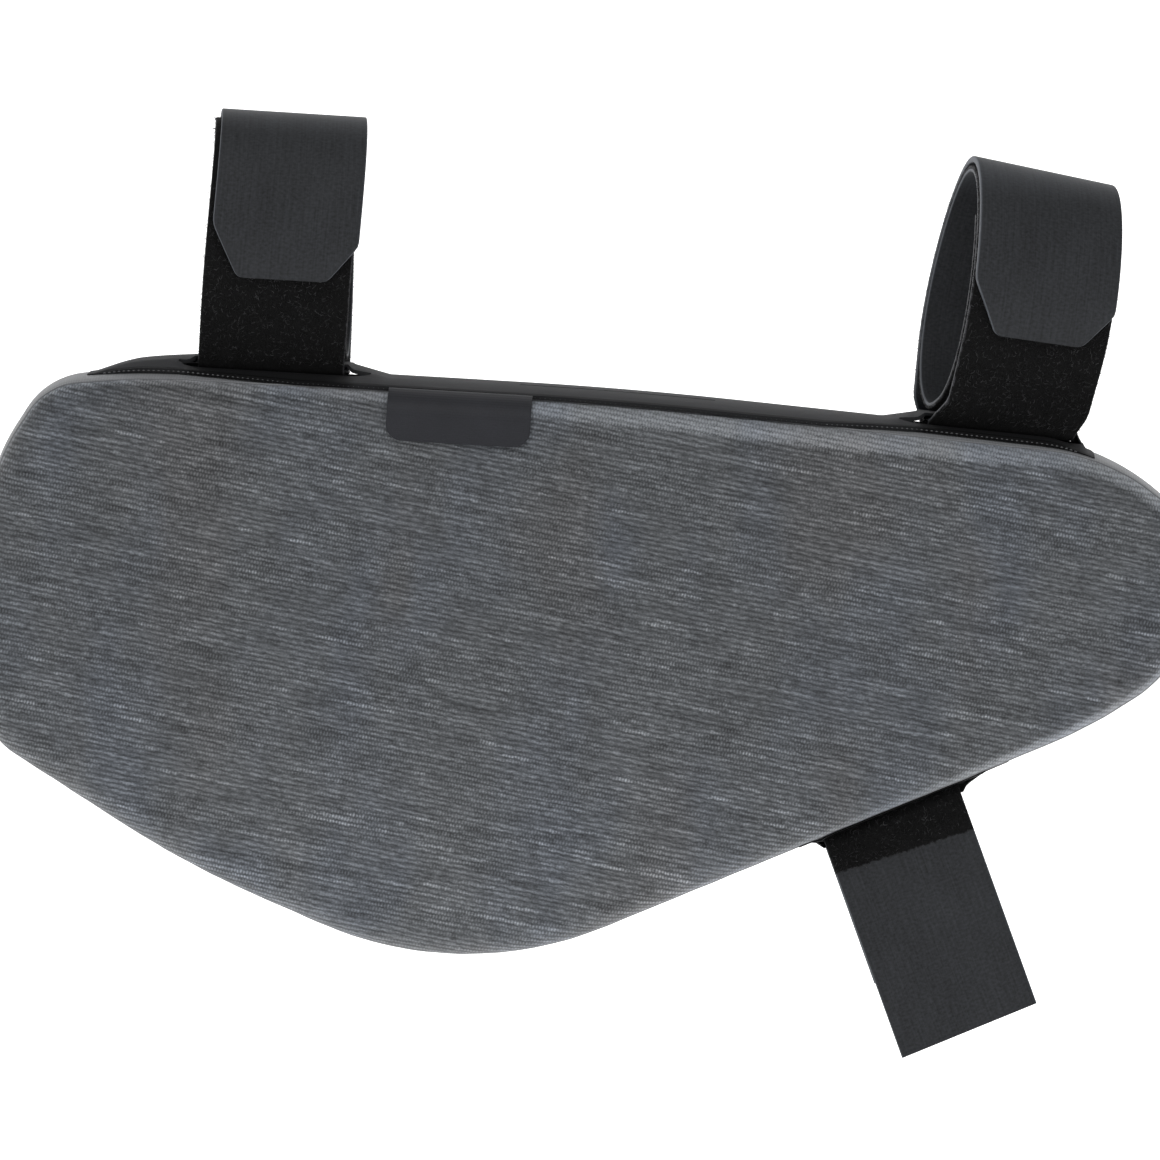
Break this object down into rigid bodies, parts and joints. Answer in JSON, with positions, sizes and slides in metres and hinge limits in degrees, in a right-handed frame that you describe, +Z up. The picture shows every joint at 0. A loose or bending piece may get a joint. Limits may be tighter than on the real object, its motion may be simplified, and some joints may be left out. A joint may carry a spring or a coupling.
{
  "type": "bicycle frame bag",
  "caption": "Soft fabric frame bag with a tapered nose, hung under a top tube on two wound hook-and-loop straps, with an open strap below for the down tube.",
  "frame": {"origin": "on the axis of the top tube that the bag hangs from, midway between its two top straps", "axes": "+X along the top tube towards the bag's narrow nose, +Z up, and the labelled face looks towards -Y"},
  "size_m": [0.2672, 0.0576, 0.1994],
  "materials": {
    "ribbed_fabric": "ribbed slub weave, charcoal grey",
    "coated_strip": "smooth coated fabric, dark grey",
    "hook_and_loop": "black loop pile with a smooth dark flap",
    "label_face": "matt, bare",
    "zip_cloth": "closed coil zip on woven tape, black",
    "slider_metal": "dark satin"
  },
  "bodies": {
    "root": {"bag_shell": "ribbed_fabric", "top_panel": "coated_strip", "lower_panel": "coated_strip", "label_tab": "label_face", "top_strap_left": "hook_and_loop", "top_strap_right": "hook_and_loop", "down_tube_strap": "hook_and_loop", "zip_tape": "zip_cloth", "zip_slider": "slider_metal"}
  },
  "joints": []
}
